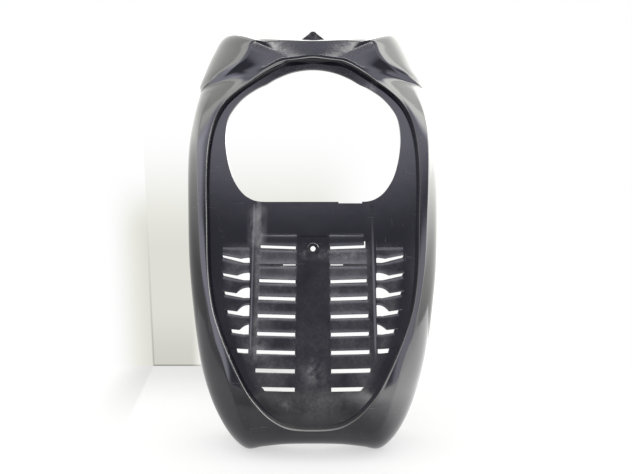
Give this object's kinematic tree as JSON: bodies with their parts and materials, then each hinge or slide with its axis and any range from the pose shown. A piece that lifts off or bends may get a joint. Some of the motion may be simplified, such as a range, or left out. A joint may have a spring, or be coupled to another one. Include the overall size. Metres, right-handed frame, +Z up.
{
  "type": "scooter leg shield",
  "caption": "Upright front shield for a scooter, with a rounded headlight opening, a set-back panel of cooling louvres, deep side walls and a screw boss.",
  "frame": {"origin": "on the ground under the middle of the part", "axes": "+Z up along the height, +X to the right seen from the front, -Y out of the front"},
  "size_m": [0.3728, 0.1882, 0.5983],
  "materials": {
    "black_plastic": "gloss black moulded plastic with fine scratches and dust"
  },
  "bodies": {
    "root": {"leg_shield": "black_plastic"}
  },
  "joints": []
}
